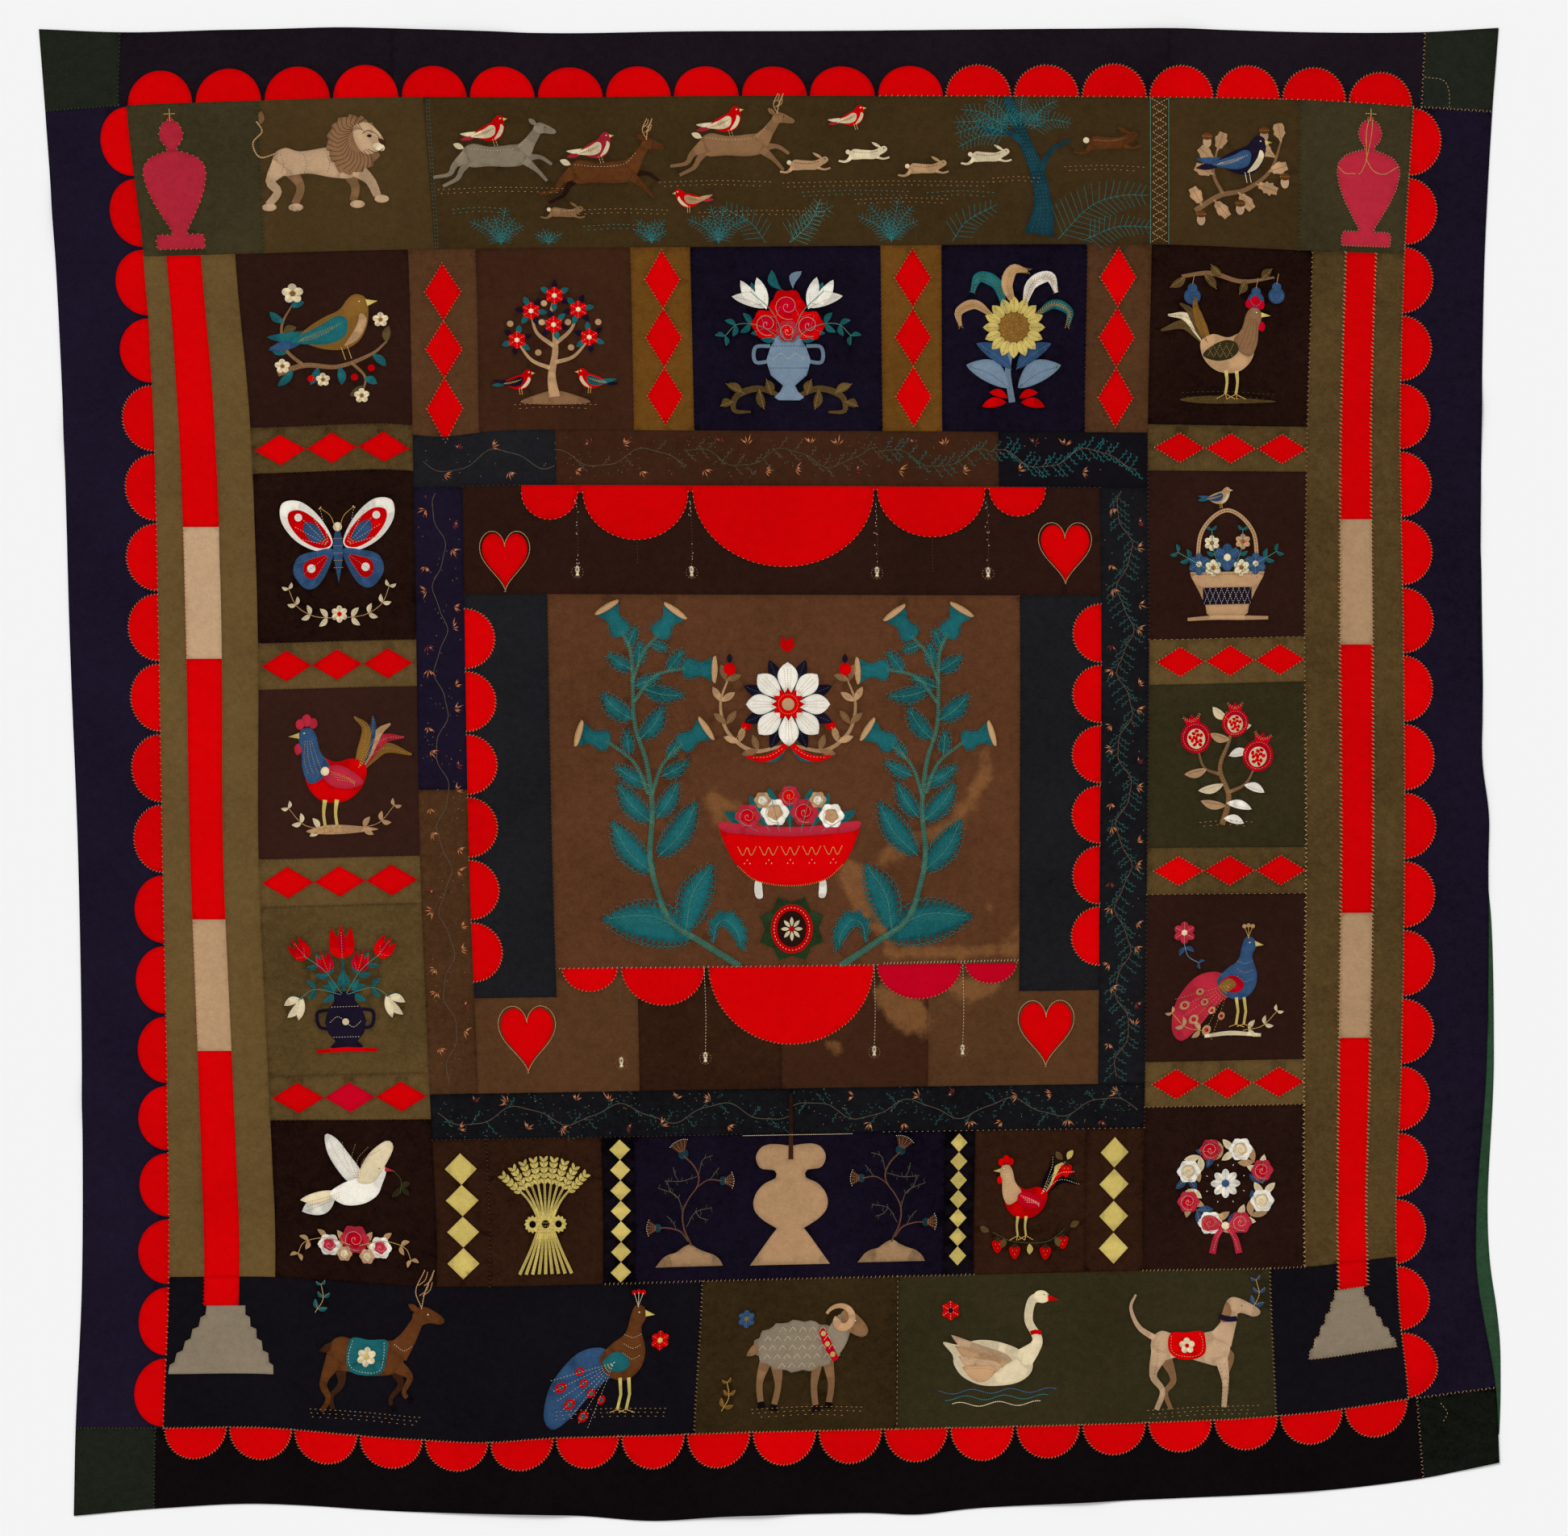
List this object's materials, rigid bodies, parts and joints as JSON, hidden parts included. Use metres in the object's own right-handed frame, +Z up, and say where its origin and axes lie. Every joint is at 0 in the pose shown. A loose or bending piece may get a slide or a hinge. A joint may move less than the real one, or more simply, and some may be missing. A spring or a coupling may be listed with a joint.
{
  "type": "inlaid patchwork coverlet",
  "caption": "Wool patchwork coverlet with inlaid cloth motifs, lying face up: scalloped border, banded columns, framed blocks and a central panel.",
  "frame": {"origin": "middle of the coverlet's bounding box, on the surface it lies on", "axes": "+Z up out of the face, +Y towards the head end, +X to the right of someone reading the face"},
  "size_m": [2.301, 2.3498, 0.0113],
  "materials": {
    "cloth_black": "matte fulled wool cloth",
    "cloth_navy": "matte fulled wool cloth",
    "cloth_bottle": "matte fulled wool cloth",
    "cloth_olive": "matte fulled wool cloth",
    "cloth_midnight": "matte fulled wool cloth",
    "cloth_moss": "matte fulled wool cloth",
    "cloth_umber": "matte fulled wool cloth",
    "cloth_chocolate": "matte fulled wool cloth",
    "cloth_chestnut": "matte fulled wool cloth",
    "cloth_tobacco": "matte fulled wool cloth",
    "lining": "plain cotton",
    "cloth_scarlet": "matte fulled wool cloth",
    "cloth_raspberry": "matte fulled wool cloth",
    "cloth_cream": "matte fulled wool cloth",
    "cloth_tan": "matte fulled wool cloth",
    "cloth_stone": "matte fulled wool cloth",
    "cloth_teal": "matte fulled wool cloth",
    "cloth_blue": "matte fulled wool cloth",
    "cloth_yellow": "matte fulled wool cloth",
    "cloth_ochre": "matte fulled wool cloth",
    "thread": "fine wool and silk thread"
  },
  "bodies": {
    "root": {"border_top": "cloth_black", "border_bottom": "cloth_black", "border_left": "cloth_navy", "border_right": "cloth_navy", "block_top_2": "cloth_navy", "block_top_3": "cloth_navy", "vase": "cloth_navy", "corner_top_left": "cloth_bottle", "corner_top_right": "cloth_bottle", "corner_bottom_left": "cloth_bottle", "corner_bottom_right": "cloth_bottle", "column_left": "cloth_olive", "column_right": "cloth_olive", "strip_top_2": "cloth_olive", "strip_top_3": "cloth_olive", "block_left_4": "cloth_olive", "strip_left_1": "cloth_olive", "strip_left_2": "cloth_olive", "strip_left_3": "cloth_olive", "strip_left_4": "cloth_olive", "strip_right_1": "cloth_olive", "strip_right_2": "cloth_olive", "strip_right_3": "cloth_olive", "strip_right_4": "cloth_olive", "vine_top": "cloth_midnight", "vine_bottom": "cloth_midnight", "vine_left": "cloth_midnight", "vine_right": "cloth_midnight", "side_left": "cloth_midnight", "side_right": "cloth_midnight", "bottom_1": "cloth_midnight", "bottom_4": "cloth_midnight", "urn_left": "cloth_moss", "urn_right": "cloth_moss", "block_right_3": "cloth_moss", "bottom_3": "cloth_moss", "frieze_left": "cloth_umber", "frieze": "cloth_umber", "frieze_right": "cloth_umber", "bottom_2": "cloth_umber", "canopy": "cloth_chocolate", "block_left_1": "cloth_chocolate", "block_left_2": "cloth_chocolate", "block_left_3": "cloth_chocolate", "block_left_5": "cloth_chocolate", "block_right_1": "cloth_chocolate", "block_right_2": "cloth_chocolate", "block_right_4": "cloth_chocolate", "block_right_5": "cloth_chocolate", "lower": "cloth_chestnut", "strip_top_1": "cloth_chestnut", "block_top_1": "cloth_chestnut", "strip_top_4": "cloth_chestnut", "strip_low_1": "cloth_chestnut", "block_low_1": "cloth_chestnut", "block_low_2": "cloth_chestnut", "strip_low_2": "cloth_chestnut", "centre": "cloth_tobacco", "lining_edge": "lining"}
  },
  "joints": []
}
